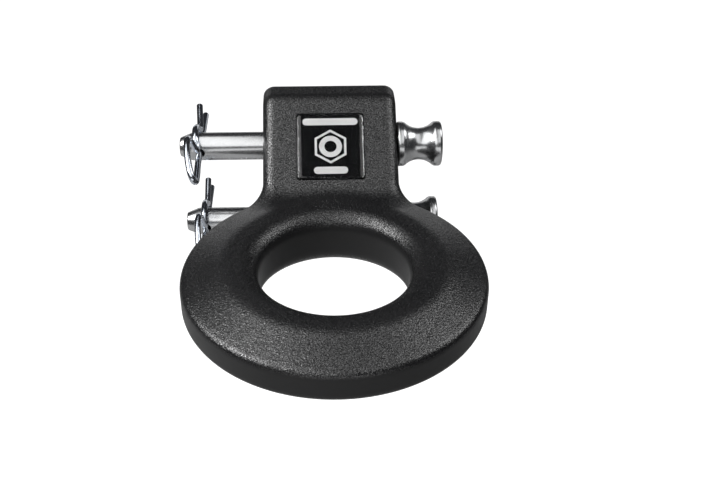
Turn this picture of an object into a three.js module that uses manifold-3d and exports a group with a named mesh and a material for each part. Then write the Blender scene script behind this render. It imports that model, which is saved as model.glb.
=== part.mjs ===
// Tow ring (lunette eye) attachment for a channel-type adjustable hitch.
// One coated forging carries the ring and the mounting block. Two hitch pins cross
// the block, and a spring clip through the nose of each pin keeps it in.
// Frame: origin at the centre of the block's rear face, +Y out of that face, +X towards
// the pin heads, +Z up. Millimetres.
import * as THREE from 'three';
import { mergeVertices } from 'three/addons/utils/BufferGeometryUtils.js';
import Module from 'manifold-3d';

const wasm = await Module();
wasm.setup();

const INCH = 25.4;
const FIT_GAP = 0.3; // left between pieces that touch

// Ring: a 3 inch eye in a domed ring, the same above and below its middle plane.
const RING_CENTRE_Y = -123.8;
const EYE_RADIUS = 1.5 * INCH;
const RING_RADIUS = 77.5;
const RING_HALF_HEIGHT = 15.4;
const CREST_RADIUS = 51.5;
const RING_SEGMENTS = 64;

// Block: a wedge on both sides of the ring's middle plane, 4 inches high at the rear.
const BLOCK_HALF_WIDTH = 37.9;
const BLOCK_HALF_HEIGHT = 2 * INCH;
const BLOCK_FLAT_DEPTH = 14.8; // flat top and bottom, measured from the rear face
const SLOPE = THREE.MathUtils.degToRad(37.7); // from horizontal
const BLOCK_FRONT_Y = -73.8; // buried in the ring
const BLOCK_EDGE = 6; // rounding of the block's side edges
const NECK_RADIUS = 11; // hollow round from the block's sides into the ring
const NECK_HALF_HEIGHT = 6.5;

// Badge: a resin-topped plate stuck in a recess on the upper slope.
const BADGE_CENTRE_Y = -39.05;
const RECESS_WIDTH = 1.5 * INCH;
const RECESS_HEIGHT = 40; // along the slope
const RECESS_DEPTH = 2.2;
const BADGE_WIDTH = 37.1;
const BADGE_HEIGHT = 39;
const PAD_THICKNESS = 0.4;
const PLATE_THICKNESS = 0.6;
const DOME_THICKNESS = 1.2;

// Hitch pins: 5/8 inch bar with a turned spool head on the +X side.
const PIN_RADIUS = 5 / 16 * INCH;
const PIN_BORE_RADIUS = 8.33;
const PIN_SETBACK = INCH; // axis in front of the rear face
const PIN_HALF_SPACING = INCH;
const PIN_NOSE_X = -85;
const PIN_TAPER = 7;
const PIN_NOSE_RADIUS = 4.6;
const HEAD_X = BLOCK_HALF_WIDTH + FIT_GAP;
const HEAD_RADIUS = 12.8;
const HEAD_WAIST_RADIUS = 9.1;
const HEAD_WAIST_START = 4; // from the head's inner face
const HEAD_WAIST_LENGTH = 16.8;
const HEAD_LENGTH = 25.4;
const CROSS_HOLE_X = -73.6;
const CROSS_HOLE_RADIUS = 2.3;
const PIN_SEGMENTS = 28;

// Spring clips: bent round wire, hanging at slightly different angles on the two pins.
const WIRE_RADIUS = 1.8;
const WIRE_SIDES = 8;
const CLIP_STEPS = 76;
const UPPER_CLIP_LEAN = THREE.MathUtils.degToRad(12); // outwards from upright
const LOWER_CLIP_LEAN = THREE.MathUtils.degToRad(4);

/** A closed geometry as a solid, for cutting and joining. */
function solidOf(geometry) {
  const bare = geometry.clone();
  bare.deleteAttribute('normal');
  bare.deleteAttribute('uv');
  const merged = mergeVertices(bare);
  return new wasm.Manifold(new wasm.Mesh({
    numProp: 3,
    vertProperties: new Float32Array(merged.attributes.position.array),
    triVerts: new Uint32Array(merged.index.array),
  }));
}

/** A solid as a flat-shaded geometry. */
function geometryOf(solid) {
  const mesh = solid.getMesh();
  const indexed = new THREE.BufferGeometry();
  indexed.setAttribute('position', new THREE.BufferAttribute(mesh.vertProperties, 3));
  indexed.setIndex(new THREE.BufferAttribute(mesh.triVerts, 1));
  const geometry = indexed.toNonIndexed();
  geometry.computeVertexNormals();
  return geometry;
}

/** A closed outline through corners [x, y, radius], each rounded where its radius is over 0. */
function roundedOutline(corners) {
  const shape = new THREE.Shape();
  corners.forEach(([x, y, radius], i) => {
    const corner = new THREE.Vector2(x, y);
    const [before, after] = [corners.at(i - 1), corners[(i + 1) % corners.length]]
      .map(([px, py]) => new THREE.Vector2(px, py).sub(corner).normalize());
    const start = corner.clone().addScaledVector(before, radius);
    const end = corner.clone().addScaledVector(after, radius);
    if (i === 0) shape.moveTo(start.x, start.y);
    else shape.lineTo(start.x, start.y);
    if (radius > 0) shape.quadraticCurveTo(x, y, end.x, end.y);
  });
  return shape;
}

/** The ring as a turned section, its axis along Z. */
function ringSolid() {
  const half = new THREE.Path();
  half.moveTo(RING_RADIUS, 2.5);
  half.quadraticCurveTo(RING_RADIUS, 7.6, 72.5, 9.4);
  half.lineTo(60, 13.9);
  half.quadraticCurveTo(55.8, RING_HALF_HEIGHT, CREST_RADIUS, RING_HALF_HEIGHT);
  half.lineTo(48.5, RING_HALF_HEIGHT);
  half.quadraticCurveTo(EYE_RADIUS + 0.5, RING_HALF_HEIGHT, EYE_RADIUS, 6.2);
  const upper = half.getPoints(3);
  const lower = upper.map((p) => new THREE.Vector2(p.x, -p.y)).reverse();
  const section = [...upper, ...lower, upper[0].clone()];
  return solidOf(new THREE.LatheGeometry(section, RING_SEGMENTS).rotateX(Math.PI / 2));
}

/** The wedge block, drawn from its side and extruded across its width. */
function blockSolid() {
  const slopeFoot = (BLOCK_FRONT_Y + BLOCK_FLAT_DEPTH) * Math.tan(SLOPE) + BLOCK_HALF_HEIGHT;
  const upper = [
    [0, BLOCK_HALF_HEIGHT, 0],
    [-BLOCK_FLAT_DEPTH, BLOCK_HALF_HEIGHT, 8],
    [BLOCK_FRONT_Y, slopeFoot, 0],
  ];
  const lower = upper.map(([y, z, radius]) => [y, -z, radius]).reverse();
  const side = new THREE.ExtrudeGeometry(roundedOutline([...upper, ...lower]), {
    depth: 2 * (BLOCK_HALF_WIDTH - BLOCK_EDGE),
    curveSegments: 4,
    bevelThickness: BLOCK_EDGE,
    bevelSize: BLOCK_EDGE,
    bevelOffset: -BLOCK_EDGE,
    bevelSegments: 3,
  });
  // Drawn in (y, z) along the third axis: turn that axis to X, and centre it.
  side.translate(0, 0, -(BLOCK_HALF_WIDTH - BLOCK_EDGE));
  side.applyMatrix4(new THREE.Matrix4().makeBasis(
    new THREE.Vector3(0, 1, 0), new THREE.Vector3(0, 0, 1), new THREE.Vector3(1, 0, 0)));
  return solidOf(side);
}

/** The web that rounds the block's sides into the ring, tangent to both. */
function neckSolid() {
  const centreX = BLOCK_HALF_WIDTH + NECK_RADIUS;
  const reach = RING_RADIUS + NECK_RADIUS;
  const centreY = RING_CENTRE_Y + Math.sqrt(reach ** 2 - centreX ** 2);
  const onRing = Math.atan2(RING_CENTRE_Y - centreY, -centreX);
  const inside = RING_CENTRE_Y + 0.8 * RING_RADIUS;
  const shape = new THREE.Shape();
  shape.moveTo(0, centreY);
  shape.absarc(centreX, centreY, NECK_RADIUS, Math.PI, onRing + 2 * Math.PI, false);
  shape.lineTo(BLOCK_HALF_WIDTH - BLOCK_EDGE, inside);
  shape.lineTo(0, inside);
  const web = new THREE.ExtrudeGeometry(shape, {
    depth: 2 * NECK_HALF_HEIGHT, curveSegments: 5, bevelEnabled: false,
  }).translate(0, 0, -NECK_HALF_HEIGHT);
  const right = solidOf(web);
  return right.add(right.mirror([1, 0, 0]));
}

/** A slab with rounded corners, standing on z = 0 of the badge's own frame. */
function badgeSlab(width, height, thickness, corner, edge = 0) {
  const [x, y] = [width / 2, height / 2];
  const outline = roundedOutline([
    [-x, -y, corner], [x, -y, corner], [x, y, corner], [-x, y, corner],
  ]);
  if (edge === 0) {
    return new THREE.ExtrudeGeometry(outline, {
      depth: thickness, curveSegments: 3, bevelEnabled: false,
    });
  }
  const slab = new THREE.ExtrudeGeometry(outline, {
    depth: 0.1, curveSegments: 3, bevelThickness: thickness - 0.1, bevelSize: edge,
    bevelOffset: -edge, bevelSegments: 3,
  });
  // The lower half of the bevel goes, so that the slab has a flat underside.
  return geometryOf(solidOf(slab).trimByPlane([0, 0, 1], 0));
}

/** Forging: ring, block and necks joined, then the pin bores and badge recess cut. */
function forgingSolid(badgeFrame) {
  const ring = ringSolid().translate([0, RING_CENTRE_Y, 0]);
  const neck = neckSolid();
  let body = ring.add(blockSolid()).add(neck);
  for (const side of [1, -1]) {
    const bore = new THREE.CylinderGeometry(
      PIN_BORE_RADIUS, PIN_BORE_RADIUS, 3 * BLOCK_HALF_WIDTH, PIN_SEGMENTS);
    bore.rotateZ(Math.PI / 2).translate(0, -PIN_SETBACK, side * PIN_HALF_SPACING);
    body = body.subtract(solidOf(bore));
  }
  const recess = badgeSlab(RECESS_WIDTH, RECESS_HEIGHT, 2 * RECESS_DEPTH, 1.5);
  recess.translate(0, 0, -RECESS_DEPTH).applyMatrix4(badgeFrame);
  return body.subtract(solidOf(recess));
}

/** Hitch pin: tapered nose, plain shank and spool head, with the clip's cross hole. */
function pinSolid() {
  const endX = HEAD_X + HEAD_LENGTH;
  const round = 1.6;
  const profile = new THREE.Path();
  // Drawn as (radius, distance along the pin).
  profile.moveTo(0, PIN_NOSE_X);
  profile.lineTo(PIN_NOSE_RADIUS, PIN_NOSE_X);
  profile.quadraticCurveTo(PIN_NOSE_RADIUS + 1.1, PIN_NOSE_X, PIN_NOSE_RADIUS + 1.4, PIN_NOSE_X + 1);
  profile.lineTo(PIN_RADIUS, PIN_NOSE_X + PIN_TAPER);
  profile.lineTo(PIN_RADIUS, HEAD_X);
  profile.lineTo(HEAD_RADIUS - round, HEAD_X);
  profile.quadraticCurveTo(HEAD_RADIUS, HEAD_X, HEAD_RADIUS, HEAD_X + round);
  // The waist is one hollow arc from flange to flange.
  const halfWaist = HEAD_WAIST_LENGTH / 2;
  const sag = HEAD_RADIUS - HEAD_WAIST_RADIUS;
  const arcRadius = (halfWaist ** 2 + sag ** 2) / (2 * sag);
  const sweep = Math.asin(halfWaist / arcRadius);
  profile.absarc(HEAD_WAIST_RADIUS + arcRadius, HEAD_X + HEAD_WAIST_START + halfWaist, arcRadius,
    Math.PI + sweep, Math.PI - sweep, true);
  profile.lineTo(HEAD_RADIUS, endX - round);
  profile.quadraticCurveTo(HEAD_RADIUS, endX - 0.4, HEAD_RADIUS - round, endX - 0.4);
  profile.lineTo(0, endX);
  const pin = new THREE.LatheGeometry(profile.getPoints(3), PIN_SEGMENTS).rotateZ(-Math.PI / 2);
  const hole = new THREE.CylinderGeometry(
    CROSS_HOLE_RADIUS, CROSS_HOLE_RADIUS, 4 * PIN_RADIUS, 16);
  hole.translate(CROSS_HOLE_X, 0, 0);
  return solidOf(pin).subtract(solidOf(hole));
}

/**
 * Spring clip in its own frame: y runs along the straight leg, z outwards from it.
 * The wire leaves the leg's front end, turns back as a finger loop, pinches in,
 * humps over the pin, pinches in again and ends in a lead-in. The bends wander a
 * little to the side, as in any hand-sprung clip.
 */
function clipGeometry() {
  // Each point is [along, out, aside], aside being towards the block.
  const route = [
    [38.6, 0, 0], [10, 0, 0], [-18, 0, 0], [-34.5, 0, 0.6], [-39.6, 0.6, 0.7],
    [-42.4, 3, 0.4], [-41.6, 6, -0.1], [-36, 10.2, -0.8], [-27, 14.8, -1.3],
    [-20.4, 16.2, -1.2], [-16.2, 14.2, -0.8], [-14.6, 10.4, -0.4], [-14, 6.8, 0],
    [-12.2, 4.6, 0.2], [-9.8, 5.6, 0.2], [-6.6, 9, 0.1], [0, 10.7, 0], [6.6, 9, 0],
    [9.8, 5.6, 0], [12.4, 4.5, 0], [16.5, 5.6, 0], [30.4, 10.8, 0],
  ].map(([along, out, aside]) => new THREE.Vector3(aside, along, out));
  const section = new THREE.Shape();
  section.absarc(0, 0, WIRE_RADIUS, 0, 2 * Math.PI, false);
  return new THREE.ExtrudeGeometry(section, {
    steps: CLIP_STEPS,
    curveSegments: WIRE_SIDES / 2, // a full circle takes twice as many
    extrudePath: new THREE.CatmullRomCurve3(route, false, 'centripetal'),
  });
}

const coat = new THREE.MeshStandardMaterial({ color: 0x1b1b1d, roughness: 0.45, metalness: 0.2 });
const steel = new THREE.MeshStandardMaterial({ color: 0xb9bcc0, roughness: 0.3, metalness: 1 });
const zinc = new THREE.MeshStandardMaterial({ color: 0xc6ccd4, roughness: 0.18, metalness: 1 });
const foam = new THREE.MeshStandardMaterial({ color: 0x2a2a2a, roughness: 0.9, metalness: 0 });
const print = new THREE.MeshStandardMaterial({ color: 0x0b0b0c, roughness: 0.35, metalness: 0 });
const resin = new THREE.MeshStandardMaterial({ color: 0x141416, roughness: 0.08, metalness: 0 });

/** One named mesh of the object. */
function piece(name, geometry, material) {
  const mesh = new THREE.Mesh(geometry, material);
  mesh.name = name;
  return mesh;
}

const object = new THREE.Group();

// The badge's own frame: z out of the upper slope, y up it.
const badge = new THREE.Group();
const slopeHeight = BLOCK_HALF_HEIGHT + (BADGE_CENTRE_Y + BLOCK_FLAT_DEPTH) * Math.tan(SLOPE);
badge.position.set(0, BADGE_CENTRE_Y, slopeHeight);
badge.rotation.x = SLOPE;
badge.updateMatrix();
const padZ = FIT_GAP - RECESS_DEPTH;
const plateZ = padZ + PAD_THICKNESS + FIT_GAP;
const domeZ = plateZ + PLATE_THICKNESS + FIT_GAP;
const padSlab = badgeSlab(BADGE_WIDTH - 1, BADGE_HEIGHT - 1, PAD_THICKNESS, 1);
const plateSlab = badgeSlab(BADGE_WIDTH, BADGE_HEIGHT, PLATE_THICKNESS, 1.2);
const domeSlab = badgeSlab(BADGE_WIDTH, BADGE_HEIGHT, DOME_THICKNESS, 1.2, 0.9);
badge.add(
  piece('badge_pad', padSlab.translate(0, 0, padZ), foam),
  piece('badge_plate', plateSlab.translate(0, 0, plateZ), print),
  piece('badge_dome', domeSlab.translate(0, 0, domeZ), resin),
);

object.add(piece('ring_body', geometryOf(forgingSolid(badge.matrix)), coat), badge);

const pinGeometry = geometryOf(pinSolid());
const wireGeometry = clipGeometry();
for (const [place, side, lean] of [['upper', 1, UPPER_CLIP_LEAN], ['lower', -1, LOWER_CLIP_LEAN]]) {
  const pin = new THREE.Group();
  pin.position.set(0, -PIN_SETBACK, side * PIN_HALF_SPACING);
  const clip = new THREE.Group();
  clip.position.x = CROSS_HOLE_X;
  clip.rotation.y = -lean;
  clip.add(piece(`${place}_clip`, wireGeometry, zinc));
  pin.add(piece(`${place}_pin`, pinGeometry, steel), clip);
  object.add(pin);
}

export default object;
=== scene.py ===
"""Looks of a lunette ring hitch attachment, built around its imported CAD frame.

The forging is drawn as a field of distances in millimetres, meshed, and its sharp edges
snapped. Pins are turned profiles, clips are swept wires, and the badge is a small stack.
"""
import math

import bmesh
import bpy
import numpy as np
from mathutils import Euler, Matrix, Vector


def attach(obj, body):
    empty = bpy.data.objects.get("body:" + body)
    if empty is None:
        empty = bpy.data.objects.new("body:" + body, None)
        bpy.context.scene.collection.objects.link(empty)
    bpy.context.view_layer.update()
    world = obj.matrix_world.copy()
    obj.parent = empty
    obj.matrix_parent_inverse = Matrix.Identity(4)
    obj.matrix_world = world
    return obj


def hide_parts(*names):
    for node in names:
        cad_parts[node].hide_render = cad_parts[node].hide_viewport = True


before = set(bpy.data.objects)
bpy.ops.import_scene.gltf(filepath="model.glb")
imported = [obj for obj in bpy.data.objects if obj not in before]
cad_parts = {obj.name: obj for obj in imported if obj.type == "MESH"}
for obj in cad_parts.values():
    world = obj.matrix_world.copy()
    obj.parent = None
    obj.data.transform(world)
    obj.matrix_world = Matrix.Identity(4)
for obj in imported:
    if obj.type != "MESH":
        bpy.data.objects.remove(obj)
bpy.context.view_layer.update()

MM = 0.001

# ---- Driving dimensions, in millimetres, in the frame's axes ----
RING_Y = -123.8
EYE_RADIUS = 38.1
RING_RADIUS = 77.5
RING_HALF_HEIGHT = 15.4
CONE_HEIGHT_AT = (60.0, 13.9)
CONE_FALL = 0.36
BLOCK_HALF_WIDTH = 37.9
BLOCK_HALF_HEIGHT = 50.8
BLOCK_FLAT_DEPTH = 14.8
BLOCK_FRONT_Y = -73.8
SLOPE = math.radians(37.7)
PIN_Y = -25.4
PIN_HALF_SPACING = 25.4
PIN_RADIUS = 7.9375
BORE_RADIUS = 8.33
BADGE_Y = -39.05
RECESS_WIDTH = 38.1
RECESS_HEIGHT = 40.0
RECESS_DEPTH = 2.2
BADGE_WIDTH = 36.9
CROSS_HOLE_X = -73.6
CROSS_HOLE_RADIUS = 2.3
WIRE_RADIUS = 1.8
UPPER_CLIP_LEAN = math.radians(12)
LOWER_CLIP_LEAN = math.radians(4)
PIN_NOSE_X = -85
EYE_ROUND = 9.7
CREST_ROUND = 16
RIM_ROUND = 4.3
BLOCK_TOP_ROUND = 11
BLOCK_SIDE_ROUND = 6.5
BLOCK_REAR_ROUND = 2
RECESS_CORNER = 1.6
BADGE_CORNER = 1.5
DOME_EDGE = 0.9
HOLE_WEAR = 0.3
HOLE_WEAR_SHIFT = 0.4


# ---- The forging's shape as distances ----
def ramp(value, low, high):
    """0 below low, 1 above high, smooth between."""
    t = np.clip((value - low) / (high - low), 0, 1)
    return t * t * (3 - 2 * t)


def round_and(a, b, radius, facing=0.0):
    """Both solids at once, the edge between them rounded. facing: cosine between their faces."""
    a, b = a + radius, b + radius
    corner = (a > b * facing) & (b > a * facing)
    beyond = np.sqrt(np.maximum(a * a + b * b - 2 * facing * a * b, 0) / (1 - facing ** 2))
    return np.where(corner, beyond, np.maximum(a, b)) - radius


def round_or(a, b, radius, facing=0.0):
    """Either solid, with a hollow round where they meet."""
    return -round_and(-a, -b, radius, facing)


def ring_distance(x, y, z):
    r = np.hypot(x, y - RING_Y)
    z = np.abs(z)
    cone_r, cone_z = CONE_HEIGHT_AT
    length = math.hypot(1, CONE_FALL)
    cone = ((z - cone_z) + CONE_FALL * (r - cone_r)) / length
    d = round_and(EYE_RADIUS - r, z - RING_HALF_HEIGHT, EYE_ROUND)
    d = round_and(d, cone, CREST_ROUND, 1 / length)
    return round_and(d, r - RING_RADIUS, RIM_ROUND, CONE_FALL / length)


def block_distance(x, y, z):
    z = np.abs(z)
    slope_z = BLOCK_HALF_HEIGHT + (y + BLOCK_FLAT_DEPTH) * math.tan(SLOPE)
    d = round_and((z - slope_z) * math.cos(SLOPE), z - BLOCK_HALF_HEIGHT,
                  BLOCK_TOP_ROUND, math.cos(SLOPE))
    d = round_and(d, np.abs(x) - BLOCK_HALF_WIDTH, BLOCK_SIDE_ROUND)
    d = round_and(d, y, BLOCK_REAR_ROUND)
    return np.maximum(d, BLOCK_FRONT_Y - y)


def outer_distance(p):
    x, y, z = p
    hollow = 6 + 4 * ramp(np.abs(x), 20, 36)
    return round_or(ring_distance(x, y, z), block_distance(x, y, z), hollow)


def bore_distance(p):
    x, y, z = p
    return np.hypot(y - PIN_Y, np.abs(z) - PIN_HALF_SPACING) - BORE_RADIUS


SLOPE_POINT = (0.0, BADGE_Y, BLOCK_HALF_HEIGHT + (BADGE_Y + BLOCK_FLAT_DEPTH) * math.tan(SLOPE))


def recess_distance(p):
    """The badge's recess, square to the slope."""
    x, y, z = p
    up = (y - SLOPE_POINT[1]) * math.cos(SLOPE) + (z - SLOPE_POINT[2]) * math.sin(SLOPE)
    out = (z - SLOPE_POINT[2]) * math.cos(SLOPE) - (y - SLOPE_POINT[1]) * math.sin(SLOPE)
    walls = round_and(np.abs(x) - RECESS_WIDTH / 2, np.abs(up) - RECESS_HEIGHT / 2, RECESS_CORNER)
    return np.maximum(np.maximum(walls, -RECESS_DEPTH - out), out - 12)


CUTS = (bore_distance, recess_distance)


def body_distance(p):
    d = outer_distance(p)
    for cut in CUTS:
        d = np.maximum(d, -cut(p))
    return d


def gradient(field, p, step=0.02):
    out = np.empty_like(p)
    for axis in range(3):
        shift = np.zeros((3, 1))
        shift[axis] = step
        out[axis] = (field(p + shift) - field(p - shift)) / (2 * step)
    return out


def project(field, p, rounds=6):
    """Moves points onto the surface of a field."""
    for _ in range(rounds):
        g = gradient(field, p)
        p = p - field(p) * g / np.maximum((g * g).sum(0), 1e-6)
    return p


def project_to_edge(field_a, field_b, p, rounds=8):
    """Moves points onto the edge where two surfaces cross."""
    for _ in range(rounds):
        ga, gb = gradient(field_a, p), gradient(field_b, p)
        a, b = field_a(p), field_b(p)
        aa, bb, ab = (ga * ga).sum(0), (gb * gb).sum(0), (ga * gb).sum(0)
        det = np.maximum(aa * bb - ab * ab, 1e-3)
        p = p - ga * ((bb * a - ab * b) / det) - gb * ((aa * b - ab * a) / det)
    return p


def surface_nets(field, low, high, pitch):
    """A quad mesh with one vertex in each grid cell that the surface crosses."""
    axes = [np.arange(lo, hi + pitch, pitch) for lo, hi in zip(low, high)]
    grid = np.meshgrid(*axes, indexing="ij", sparse=True)
    values = field(grid).astype(np.float32)
    inside = values < 0
    counts = [n - 1 for n in values.shape]
    total = np.zeros(counts, np.float32)
    sums = [np.zeros(counts, np.float32) for _ in range(3)]
    quads = []

    def cells(array, corner):
        return array[tuple(slice(c, c + n) for c, n in zip(corner, counts))]

    for axis in range(3):
        others = [a for a in range(3) if a != axis]
        for i in (0, 1):
            for j in (0, 1):
                near = [0, 0, 0]
                near[others[0]], near[others[1]] = i, j
                far = list(near)
                far[axis] = 1
                a, b = cells(values, near), cells(values, far)
                crossed = (a < 0) != (b < 0)
                t = np.where(crossed, a / np.where(a == b, 1, a - b), 0)
                total += crossed
                sums[axis] += t
                sums[others[0]] += crossed * i
                sums[others[1]] += crossed * j
    used = total > 0
    index = np.full(counts, -1, np.int64)
    index[used] = np.arange(used.sum())
    where = np.stack(np.nonzero(used)).astype(float)
    offset = np.stack([(s[used] / total[used]) for s in sums])
    points = (where + offset) * pitch + np.array(low, float)[:, None]

    for axis in range(3):
        u, v = (axis + 1) % 3, (axis + 2) % 3
        a = inside[tuple(slice(0, -1) if k == axis else slice(None) for k in range(3))]
        b = inside[tuple(slice(1, None) if k == axis else slice(None) for k in range(3))]
        place = np.stack(np.nonzero(a != b))
        keep = (place[u] > 0) & (place[v] > 0) & (place[u] < counts[u]) & (place[v] < counts[v])
        place = place[:, keep]
        outward = a[tuple(place)]
        corners = []
        for du, dv in ((0, 0), (-1, 0), (-1, -1), (0, -1)):
            cell = place.copy()
            cell[u] += du
            cell[v] += dv
            corners.append(index[tuple(cell)])
        quad = np.stack(corners, 1)
        quad[~outward] = quad[~outward][:, ::-1]
        quads.append(quad)
    return points, np.concatenate(quads)


def forging_mesh():
    pitch = 0.9
    low = (-RING_RADIUS - 1.5, RING_Y - RING_RADIUS - 1.5, -BLOCK_HALF_HEIGHT - 1.5)
    high = (RING_RADIUS + 1.5, 2.0, BLOCK_HALF_HEIGHT + 1.5)
    points, quads = surface_nets(body_distance, low, high, pitch)
    start = points
    points = project(body_distance, points)
    drift = np.linalg.norm(points - start, axis=0) > pitch
    points[:, drift] = start[:, drift]
    # Each vertex close to a cut's rim goes onto the rim.
    for cut in CUTS:
        near = (np.abs(outer_distance(points)) < 0.75 * pitch) & (np.abs(cut(points)) < 0.75 * pitch)
        rim = project_to_edge(outer_distance, cut, points[:, near])
        close = np.linalg.norm(rim - points[:, near], axis=0) < 1.2 * pitch
        chosen = np.nonzero(near)[0][close]
        points[:, chosen] = rim[:, close]
    mesh = bpy.data.meshes.new("forging")
    mesh.from_pydata((points.T * MM).tolist(), [], quads.tolist())
    mesh.validate()
    mesh.shade_smooth()
    mesh.set_sharp_from_angle(angle=math.radians(38))
    # How far each point is satin instead of wrinkled: the eye's wall and the rim.
    r = np.hypot(points[0], points[1] - RING_Y)
    z = np.abs(points[2])
    eye = ramp(EYE_RADIUS + 3.0 - r, 0, 2.4) * ramp(11.0 - z, 0, 3)
    rim = ramp(r - (RING_RADIUS - 1.2), 0, 1.0) * ramp(7.0 - z, 0, 2)
    rim *= ramp(block_distance(*points), 4, 12)
    satin = mesh.attributes.new("satin", "FLOAT", "POINT")
    satin.data.foreach_set("value", np.clip(eye + rim, 0, 1).astype(np.float32))
    return mesh


# ---- Mesh helpers ----
def put(name, mesh, material, slot, body, *nodes):
    """Adds a piece to the scene: its look, the body it rides on, the CAD nodes it stands for."""
    piece = bpy.data.objects.new(name, mesh)
    bpy.context.scene.collection.objects.link(piece)
    mesh.materials.append(material)
    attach(piece, body)
    if nodes:
        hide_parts(*nodes)


def mesh_from(name, points, faces, sharp_angle=40):
    mesh = bpy.data.meshes.new(name)
    mesh.from_pydata([tuple(p) for p in points], [], faces)
    mesh.validate()
    mesh.shade_smooth()
    mesh.set_sharp_from_angle(angle=math.radians(sharp_angle))
    return mesh


def arc(centre, radius, start, end, steps):
    """Points on an arc in a plane, angles in degrees."""
    angles = [math.radians(start + (end - start) * i / steps) for i in range(steps + 1)]
    return [(centre[0] + radius * math.cos(a), centre[1] + radius * math.sin(a)) for a in angles]


def turned_mesh(name, profile, sides):
    """A solid turned about X from (distance, radius) points that start and end on the axis."""
    points = [(profile[0][0], 0, 0)]
    for x, radius in profile[1:-1]:
        for i in range(sides):
            a = 2 * math.pi * i / sides
            points.append((x, radius * math.cos(a), radius * math.sin(a)))
    points.append((profile[-1][0], 0, 0))
    rows = len(profile) - 2
    faces = []
    for i in range(sides):
        j = (i + 1) % sides
        faces.append((0, 1 + j, 1 + i))
        for k in range(rows - 1):
            a, b = 1 + k * sides, 1 + (k + 1) * sides
            faces.append((a + i, a + j, b + j, b + i))
        last = 1 + (rows - 1) * sides
        faces.append((last + i, last + j, len(points) - 1))
    return mesh_from(name, [Vector(p) * MM for p in points], faces)


def cut_with(mesh, cutter):
    """Takes the cutter away from the mesh."""
    target = bpy.data.objects.new("target", mesh)
    tool = bpy.data.objects.new("tool", cutter)
    for obj in (target, tool):
        bpy.context.scene.collection.objects.link(obj)
    modifier = target.modifiers.new("cut", "BOOLEAN")
    modifier.operation = "DIFFERENCE"
    modifier.solver = "EXACT"
    modifier.object = tool
    bpy.context.view_layer.update()
    graph = bpy.context.evaluated_depsgraph_get()
    result = bpy.data.meshes.new_from_object(target.evaluated_get(graph))
    for obj in (target, tool):
        bpy.data.objects.remove(obj)
    result.name = mesh.name
    result.shade_smooth()
    result.set_sharp_from_angle(angle=math.radians(40))
    return result


# ---- Pins ----
def pin_profile():
    head = BLOCK_HALF_WIDTH + 0.3
    head_radius, waist_radius = 12.8, 9.1
    waist_start, waist_length, head_length = head + 4, 16.8, 25.4
    nose = PIN_NOSE_X
    half, sag = waist_length / 2, head_radius - waist_radius
    waist_arc = (half ** 2 + sag ** 2) / (2 * sag)
    sweep = math.degrees(math.asin(half / waist_arc))
    end = head + head_length
    profile = [(nose, 0), (nose, 3.6)]
    profile += arc((nose + 1.2, 4.4), 1.2, 180, 108, 5)
    profile += [(nose + 6.2, PIN_RADIUS - 0.25), (nose + 7.2, PIN_RADIUS - 0.03)]
    profile += [(nose + 8.4, PIN_RADIUS)]
    profile += [(-40, PIN_RADIUS), (0, PIN_RADIUS), (head - 0.4, PIN_RADIUS), (head, PIN_RADIUS + 0.4)]
    profile += arc((head + 1.2, head_radius - 1.2), 1.2, 180, 90, 6)
    profile += [(waist_start - 1.0, head_radius - 0.02)]
    waist = arc((waist_start + half, waist_radius + waist_arc), waist_arc,
                270 - sweep + 4, 270 + sweep - 4, 20)
    profile += [(waist_start - 0.1, head_radius - 0.2)] + waist
    profile += [(waist_start + waist_length + 0.2, head_radius - 0.15)]
    profile += [(waist_start + waist_length + 1.0, head_radius)]
    profile += arc((end - 1.7, head_radius - 1.5), 1.5, 90, 8, 6)
    profile += [(end, head_radius - 5), (end, 0)]
    return profile


def pin_mesh(side):
    mesh = turned_mesh("pin", pin_profile(), 96)
    # The worn hole is a little wider than drilled, and the wire lies against its nose side.
    radius = CROSS_HOLE_RADIUS + HOLE_WEAR
    hole = turned_mesh("hole", [(-12, 0), (-12, radius), (12, radius), (12, 0)], 32)
    place = Matrix.Translation(((CROSS_HOLE_X + HOLE_WEAR_SHIFT) * MM, 0, 0))
    hole.transform(place @ Matrix.Rotation(math.pi / 2, 4, "Z"))
    mesh = cut_with(mesh, hole)
    mesh.transform(Matrix.Translation(Vector((0, PIN_Y, side * PIN_HALF_SPACING)) * MM))
    return mesh


# ---- Clips ----
# Each point is (aside, along, out): aside towards the block, along the straight leg.
CLIP_ROUTE = [
    (0, 38.6, 0), (0, 10, 0), (0, -18, 0), (0.6, -34.5, 0), (0.7, -39.6, 0.6),
    (0.4, -42.4, 3), (-0.1, -41.6, 6), (-0.8, -36, 10.2), (-1.3, -27, 14.8),
    (-1.2, -20.4, 16.2), (-0.8, -16.2, 14.2), (-0.4, -14.6, 10.4), (0, -14, 6.8),
    (0.2, -12.2, 4.6), (0.2, -9.8, 5.6), (0.1, -6.6, 9), (0, 0, 10.7), (0, 6.6, 9),
    (0, 9.8, 5.6), (0, 12.4, 4.5), (0, 16.5, 5.6), (0, 30.4, 10.8),
]


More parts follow.
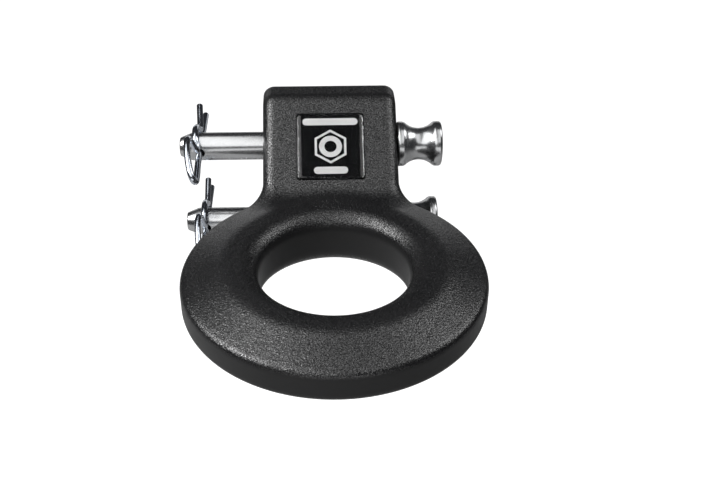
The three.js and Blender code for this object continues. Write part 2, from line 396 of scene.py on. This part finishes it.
def smooth_route(points, step):
    """Centripetal Catmull-Rom curve through the points, at a nearly even step."""
    pts = [Vector(p) for p in points]
    pts = [2 * pts[0] - pts[1]] + pts + [2 * pts[-1] - pts[-2]]
    route = []
    for i in range(1, len(pts) - 2):
        p0, p1, p2, p3 = pts[i - 1:i + 3]
        t0 = 0.0
        t1 = t0 + math.sqrt((p1 - p0).length)
        t2 = t1 + math.sqrt((p2 - p1).length)
        t3 = t2 + math.sqrt((p3 - p2).length)
        count = max(2, round((p2 - p1).length / step))
        for k in range(count):
            t = t1 + (t2 - t1) * k / count
            a1 = p0.lerp(p1, (t - t0) / (t1 - t0))
            a2 = p1.lerp(p2, (t - t1) / (t2 - t1))
            a3 = p2.lerp(p3, (t - t2) / (t3 - t2))
            b1 = a1.lerp(a2, (t - t0) / (t2 - t0))
            b2 = a2.lerp(a3, (t - t1) / (t3 - t1))
            route.append(b1.lerp(b2, (t - t1) / (t2 - t1)))
    return route + [pts[-2]]


def wire_mesh(name, route, radius, sides):
    """A round wire along a nearly flat route, its ends broken round."""
    break_ = 0.35
    stations = []
    for i, p in enumerate(route):
        a, b = route[max(i - 1, 0)], route[min(i + 1, len(route) - 1)]
        stations.append((p, (b - a).normalized(), radius))
    first, last = stations[0], stations[-1]
    stations[0] = (first[0] + first[1] * break_, first[1], radius)
    stations[-1] = (last[0] - last[1] * break_, last[1], radius)
    stations = ([(first[0], first[1], radius - break_)] + stations
                + [(last[0], last[1], radius - break_)])
    points, faces = [], []
    for centre, along, size in stations:
        normal = along.cross(Vector((1, 0, 0))).normalized()
        across = normal.cross(along)
        for k in range(sides):
            a = 2 * math.pi * k / sides
            points.append((centre + size * (math.cos(a) * normal + math.sin(a) * across)) * MM)
    for i in range(len(stations) - 1):
        a, b = i * sides, (i + 1) * sides
        for k in range(sides):
            j = (k + 1) % sides
            faces.append((a + k, a + j, b + j, b + k))
    faces.append(tuple(reversed(range(sides))))
    faces.append(tuple(range(len(points) - sides, len(points))))
    mesh = mesh_from(name, points, faces)
    bm = bmesh.new()
    bm.from_mesh(mesh)
    bmesh.ops.recalc_face_normals(bm, faces=bm.faces)
    bm.to_mesh(mesh)
    bm.free()
    return mesh


def clip_mesh(side, lean):
    mesh = wire_mesh("clip", smooth_route(CLIP_ROUTE, 0.7), WIRE_RADIUS, 24)
    place = Matrix.Translation(Vector((CROSS_HOLE_X, PIN_Y, side * PIN_HALF_SPACING)) * MM)
    mesh.transform(place @ Matrix.Rotation(-lean, 4, "Y"))
    return mesh


# ---- Badge ----
BADGE_PLACE = Matrix.Translation(Vector(SLOPE_POINT) * MM) @ Matrix.Rotation(SLOPE, 4, "X")


def rounded_outline(half, corner, steps=6):
    """The badge's outline at a half width; it is slightly taller than wide."""
    taller = (RECESS_HEIGHT - RECESS_WIDTH) / 2
    points = []
    for quarter, (sx, sy) in enumerate(((1, 1), (-1, 1), (-1, -1), (1, -1))):
        centre = (sx * (half - corner), sy * (half + taller - corner))
        points += arc(centre, corner, 90 * quarter, 90 * quarter + 90, steps)
    return points


def slab_mesh(name, levels):
    """A slab built of levels (half width, corner radius, height), bottom to top."""
    points, faces = [], []
    for half, corner, height in levels:
        outline = rounded_outline(half, corner)
        points += [Vector((x, y, height)) * MM for x, y in outline]
    count = len(outline)
    for i in range(len(levels) - 1):
        a, b = i * count, (i + 1) * count
        for k in range(count):
            j = (k + 1) % count
            faces.append((a + k, a + j, b + j, b + k))
    faces.append(tuple(reversed(range(count))))
    faces.append(tuple(range(len(points) - count, len(points))))
    mesh = mesh_from(name, points, faces, 50)
    mesh.transform(BADGE_PLACE)
    return mesh


def dome_levels(bottom, top, half):
    """Levels of a clear dome: steep at its edge, then an almost flat crown."""
    levels = [(half, BADGE_CORNER, bottom)]
    steps = 7
    for i in range(1, steps + 1):
        a = math.pi / 2 * i / steps
        inset = DOME_EDGE * (1 - math.cos(a))
        height = bottom + 0.25 + (top - bottom - 0.35) * math.sin(a)
        levels.append((half - inset, BADGE_CORNER, height))
    for i in range(1, 12):
        share = i / 12
        rise = 0.1 * (1 - (1 - share) ** 2)
        corner = max(BADGE_CORNER * (1 - share), 0.2)
        levels.append(((half - DOME_EDGE) * (1 - share), corner, top - 0.1 + rise))
    return levels


def flat_mark(name, outlines, height):
    """Thin flat shapes on the badge's plate, each an outline, filled, or a ring of two."""
    bm = bmesh.new()
    for outer, inner in outlines:
        if inner is None:
            bm.faces.new([bm.verts.new(Vector((x, y, height)) * MM) for x, y in outer])
            continue
        a = [bm.verts.new(Vector((x, y, height)) * MM) for x, y in outer]
        b = [bm.verts.new(Vector((x, y, height)) * MM) for x, y in inner]
        for k in range(len(a)):
            j = (k + 1) % len(a)
            bm.faces.new((a[k], a[j], b[j], b[k]))
    solid = bmesh.ops.extrude_face_region(bm, geom=bm.faces[:])
    up = [v for v in solid["geom"] if isinstance(v, bmesh.types.BMVert)]
    bmesh.ops.translate(bm, verts=up, vec=Vector((0, 0, 0.05 * MM)))
    bmesh.ops.recalc_face_normals(bm, faces=bm.faces)
    mesh = bpy.data.meshes.new(name)
    bm.to_mesh(mesh)
    bm.free()
    mesh.transform(BADGE_PLACE)
    return mesh


def polygon(sides, radius, centre=(0, 0), turn=0):
    step = 360 / sides
    return [(centre[0] + radius * math.cos(math.radians(turn + step * i)),
             centre[1] + radius * math.sin(math.radians(turn + step * i))) for i in range(sides)]


def bar(cx, cy, width, height):
    """A plain strip with round ends."""
    radius = height / 2
    straight = width / 2 - radius
    return (arc((cx + straight, cy), radius, -90, 90, 8)
            + arc((cx - straight, cy), radius, 90, 270, 8))


# ---- Materials ----
def new_material(name, **values):
    material = bpy.data.materials.new(name)
    material.use_nodes = True
    shader = material.node_tree.nodes["Principled BSDF"]
    for socket, value in values.items():
        shader.inputs[socket.replace("_", " ")].default_value = value
    return material, material.node_tree, shader


def node(tree, kind, **settings):
    made = tree.nodes.new(kind)
    for key, value in settings.items():
        if key in made.inputs:
            made.inputs[key].default_value = value
        else:
            setattr(made, key, value)
    return made


def math_node(tree, operation, a, b=None, c=None):
    made = node(tree, "ShaderNodeMath", operation=operation)
    for socket, value in zip(made.inputs, (a, b, c)):
        if value is None:
            continue
        if isinstance(value, (int, float)):
            socket.default_value = value
        else:
            tree.links.new(value, socket)
    return made.outputs[0]


def mix_colour(tree, factor, a, b):
    made = node(tree, "ShaderNodeMix", data_type="RGBA")
    tree.links.new(factor, made.inputs["Factor"])
    made.inputs["A"].default_value = (*a, 1)
    made.inputs["B"].default_value = (*b, 1)
    return made.outputs["Result"]


def place_coords(tree, scale=(1, 1, 1)):
    coords = node(tree, "ShaderNodeTexCoord")
    mapping = node(tree, "ShaderNodeMapping")
    mapping.inputs["Scale"].default_value = scale
    tree.links.new(coords.outputs["Object"], mapping.inputs["Vector"])
    return mapping.outputs["Vector"]


def noise(tree, vector, scale, detail=2.0, roughness=0.5):
    made = node(tree, "ShaderNodeTexNoise")
    made.inputs["Scale"].default_value = scale
    made.inputs["Detail"].default_value = detail
    made.inputs["Roughness"].default_value = roughness
    tree.links.new(vector, made.inputs["Vector"])
    return made.outputs["Fac"]


def bump(tree, height, strength, distance):
    made = node(tree, "ShaderNodeBump")
    made.inputs["Strength"].default_value = strength
    made.inputs["Distance"].default_value = distance
    tree.links.new(height, made.inputs["Height"])
    return made.outputs["Normal"]


def coat_material():
    """Wrinkle-textured gloss black powder coat, smooth and satin in the eye and on the rim; its base
    colour holds a painted glint, lighter on the wrinkle crests.
    """
    material, tree, shader = new_material("black_coat", IOR=1.52)
    vector = place_coords(tree)
    satin = node(tree, "ShaderNodeAttribute", attribute_name="satin").outputs["Fac"]
    wrinkled = math_node(tree, "SUBTRACT", 1.0, satin)
    grain = noise(tree, vector, 1100, 2.0, 0.6)
    height = math_node(tree, "MULTIPLY", grain, wrinkled)
    cast = noise(tree, vector, 60, 2.0, 0.5)
    height = math_node(tree, "ADD", height, math_node(tree, "MULTIPLY", cast, 0.12))
    tree.links.new(bump(tree, height, 1.0, 0.00028), shader.inputs["Normal"])
    # The crests of the wrinkles are glossier than the pits between them.
    crest = node(tree, "ShaderNodeMapRange", interpolation_type="SMOOTHSTEP")
    tree.links.new(noise(tree, vector, 1900, 2.5, 0.7), crest.inputs["Value"])
    crest.inputs["From Min"].default_value = 0.37
    crest.inputs["From Max"].default_value = 0.70
    crest = math_node(tree, "MULTIPLY", crest.outputs["Result"], wrinkled)
    patches = noise(tree, vector, 45, 3.0, 0.6)
    rough = math_node(tree, "MULTIPLY_ADD", patches, 0.12, 0.26)
    rough = math_node(tree, "ADD", rough, math_node(tree, "MULTIPLY", satin, 0.09))
    rough = math_node(tree, "SUBTRACT", rough, math_node(tree, "MULTIPLY", crest, 0.12))
    tree.links.new(rough, shader.inputs["Roughness"])
    gloss = math_node(tree, "MULTIPLY_ADD", crest, 1.25, 0.12)
    gloss = math_node(tree, "ADD", gloss, math_node(tree, "MULTIPLY", satin, 0.22))
    tree.links.new(gloss, shader.inputs["Specular IOR Level"])
    # Painted glint: the base colour is lighter on the wrinkle crests, standing in for the sparkle of
    # their highlights. It is also a little lighter on the satin eye wall and rim.
    light = math_node(tree, "ADD", crest, math_node(tree, "MULTIPLY", satin, 0.25))
    tint = mix_colour(tree, light, (0.004, 0.004, 0.0043), (0.016, 0.016, 0.0164))
    tree.links.new(tint, shader.inputs["Base Color"])
    return material


def pin_material():
    """Bright zinc over turned steel: fine rings of the tool round the bar."""
    material, tree, shader = new_material("pin_steel", Metallic=1.0)
    rings = noise(tree, place_coords(tree, (1, 0.02, 0.02)), 2600, 2.0, 0.6)
    film = noise(tree, place_coords(tree), 140, 3.0, 0.6)
    normal = bump(tree, rings, 0.25, 0.00004)
    tree.links.new(normal, shader.inputs["Normal"])
    rough = math_node(tree, "MULTIPLY_ADD", film, 0.14, 0.18)
    tree.links.new(rough, shader.inputs["Roughness"])
    tint = mix_colour(tree, film, (0.44, 0.445, 0.45), (0.58, 0.585, 0.59))
    tree.links.new(tint, shader.inputs["Base Color"])
    return material


def clip_material():
    """Blue-bright zinc on drawn spring wire."""
    material, tree, shader = new_material("clip_wire", Metallic=1.0)
    film = noise(tree, place_coords(tree), 220, 2.0, 0.5)
    tree.links.new(bump(tree, film, 0.2, 0.0001), shader.inputs["Normal"])
    rough = math_node(tree, "MULTIPLY_ADD", film, 0.12, 0.08)
    tree.links.new(rough, shader.inputs["Roughness"])
    tint = mix_colour(tree, film, (0.50, 0.54, 0.60), (0.66, 0.69, 0.74))
    tree.links.new(tint, shader.inputs["Base Color"])
    return material


def speckled_material(name, dark, light, roughness, scale, **values):
    """A plain finish with slight unevenness in its colour and gloss."""
    material, tree, shader = new_material(name, **values)
    mottle = noise(tree, place_coords(tree), scale, 2.0, 0.5)
    tree.links.new(mix_colour(tree, mottle, dark, light), shader.inputs["Base Color"])
    rough = math_node(tree, "MULTIPLY_ADD", mottle, 0.06, roughness)
    tree.links.new(rough, shader.inputs["Roughness"])
    return material


# ---- The object ----
coat = coat_material()
put("forging", forging_mesh(), coat, "black_coat", "body", "ring_body")

steel, wire = pin_material(), clip_material()
for place, side, lean in (("upper", 1, UPPER_CLIP_LEAN), ("lower", -1, LOWER_CLIP_LEAN)):
    put(f"{place}_pin_turned", pin_mesh(side), steel, "pin_steel", f"{place}_pin", f"{place}_pin")
    put(f"{place}_clip_wire", clip_mesh(side, lean), wire, "clip_wire", f"{place}_clip", f"{place}_clip")

pad_black = speckled_material("adhesive_pad", (0.02, 0.02, 0.02), (0.035, 0.035, 0.035), 0.8, 900)
plate_black = speckled_material("badge_print", (0.003, 0.003, 0.0034), (0.005, 0.005, 0.0055), 0.08, 300)
print_white = speckled_material("badge_mark", (0.92, 0.92, 0.91), (0.96, 0.96, 0.95), 0.35, 500)
clear = speckled_material("badge_resin", (0.98, 0.98, 0.98), (1, 1, 1), 0.02, 60,
                          Transmission_Weight=1.0, IOR=1.49)

half = BADGE_WIDTH / 2
pad_z = -RECESS_DEPTH + 0.05
put("badge_pad_foam", slab_mesh("pad", [(half - 0.6, 1, pad_z), (half - 0.6, 1, pad_z + 0.5)]),
    pad_black, "adhesive_pad", "body", "badge_pad")
plate_z = pad_z + 0.52
plate_levels = [(half, BADGE_CORNER, plate_z), (half, BADGE_CORNER, plate_z + 0.7)]
put("badge_plate_printed", slab_mesh("plate", plate_levels),
    plate_black, "badge_print", "body", "badge_plate")
mark_z = plate_z + 0.72
marks = [
    (bar(0, 15.0, 31, 4.2), None),
    (bar(0, -14.2, 19, 4.2), None),
    (polygon(6, 10.2, turn=30), polygon(6, 8.7, turn=30)),
    (polygon(48, 6.4), polygon(48, 3.4)),
]
put("badge_mark", flat_mark("mark", marks, mark_z), print_white, "badge_mark", "body")
put("badge_dome_clear", slab_mesh("dome", dome_levels(mark_z + 0.08, 1.25, half)),
    clear, "badge_resin", "body", "badge_dome")


# ---- Floor, light and camera ----
FLOOR_GREY = (0.5, 0.5, 0.5)


def floor(height, size):
    """White for the camera, mid grey to everything else, so the object sits on pure white."""
    mesh = bpy.data.meshes.new("floor")
    s = size / 2
    corners = [(-s, -s, height), (s, -s, height), (s, s, height), (-s, s, height)]
    mesh.from_pydata(corners, [], [(0, 1, 2, 3)])
    piece = bpy.data.objects.new("floor", mesh)
    bpy.context.scene.collection.objects.link(piece)
    material, tree, shader = new_material("floor", Roughness=0.9)
    seen = node(tree, "ShaderNodeLightPath").outputs["Is Camera Ray"]
    tree.links.new(mix_colour(tree, seen, FLOOR_GREY, (0.3, 0.3, 0.3)), shader.inputs["Base Color"])
    shader.inputs["Emission Color"].default_value = (1, 1, 1, 1)
    tree.links.new(math_node(tree, "MULTIPLY", seen, 0.97), shader.inputs["Emission Strength"])
    mesh.materials.append(material)


def softbox(name, location, aim, width, height, power, turn=0):
    data = bpy.data.lights.new(name, "AREA")
    data.shape = "RECTANGLE"
    data.size, data.size_y, data.energy = width, height, power
    light = bpy.data.objects.new(name, data)
    light.location = location
    light.visible_camera = False
    direction = Vector(aim) - Vector(location)
    facing = direction.to_track_quat("-Z", "Y").to_matrix()
    light.rotation_euler = (facing @ Matrix.Rotation(math.radians(turn), 3, "Z")).to_euler()
    bpy.context.scene.collection.objects.link(light)


LIGHTS = (
    # name, location, aim, width, height, watts, turn about its own axis
    ("overhead_left", (-0.45, -0.51, 0.60), (-0.45, -0.509, 0), 0.86, 1.38, 7.4, 6),
    ("overhead_right", (0.22, -0.40, 0.60), (0.22, -0.399, 0), 0.30, 1.00, 1.2),
    ("front_panel", (0, -1.30, -0.03), (0, 0, -0.03), 1.40, 0.50, 2.8),
    ("right_box", (0.62, 0.06, 0.58), (0, -0.08, 0), 0.40, 0.45, 2.2),
    ("back_fill", (0, 1.20, 0.0), (0, 0, 0), 1.20, 0.40, 1.2),
    ("left_spot", (-0.62, -0.15, 0.56), (0, -0.08, 0), 0.28, 0.50, 4.8),
)


def studio():
    world = bpy.data.worlds.new("world")
    world.use_nodes = True
    tree = world.node_tree
    background = tree.nodes["Background"]
    seen = node(tree, "ShaderNodeLightPath").outputs["Is Camera Ray"]
    tree.links.new(mix_colour(tree, seen, (0.03, 0.031, 0.034), (1, 1, 1)), background.inputs["Color"])
    bpy.context.scene.world = world
    bpy.context.scene.view_settings.view_transform = "Standard"
    for light in LIGHTS:
        softbox(*light)
    floor(-0.30, 8)


def photo_camera():
    """The viewing angle of a product shot from half a metre, above and in front of the eye."""
    data = bpy.data.cameras.new("camera")
    data.sensor_width = 36
    data.lens = 52.60
    data.clip_start = 0.01
    camera = bpy.data.objects.new("camera", data)
    camera.location = (-0.01053, -0.53831, 0.31387)
    camera.rotation_euler = Euler([math.radians(a) for a in (55.339, -0.425, -2.247)], "XYZ")
    bpy.context.scene.collection.objects.link(camera)
    bpy.context.scene.camera = camera


studio()
photo_camera()
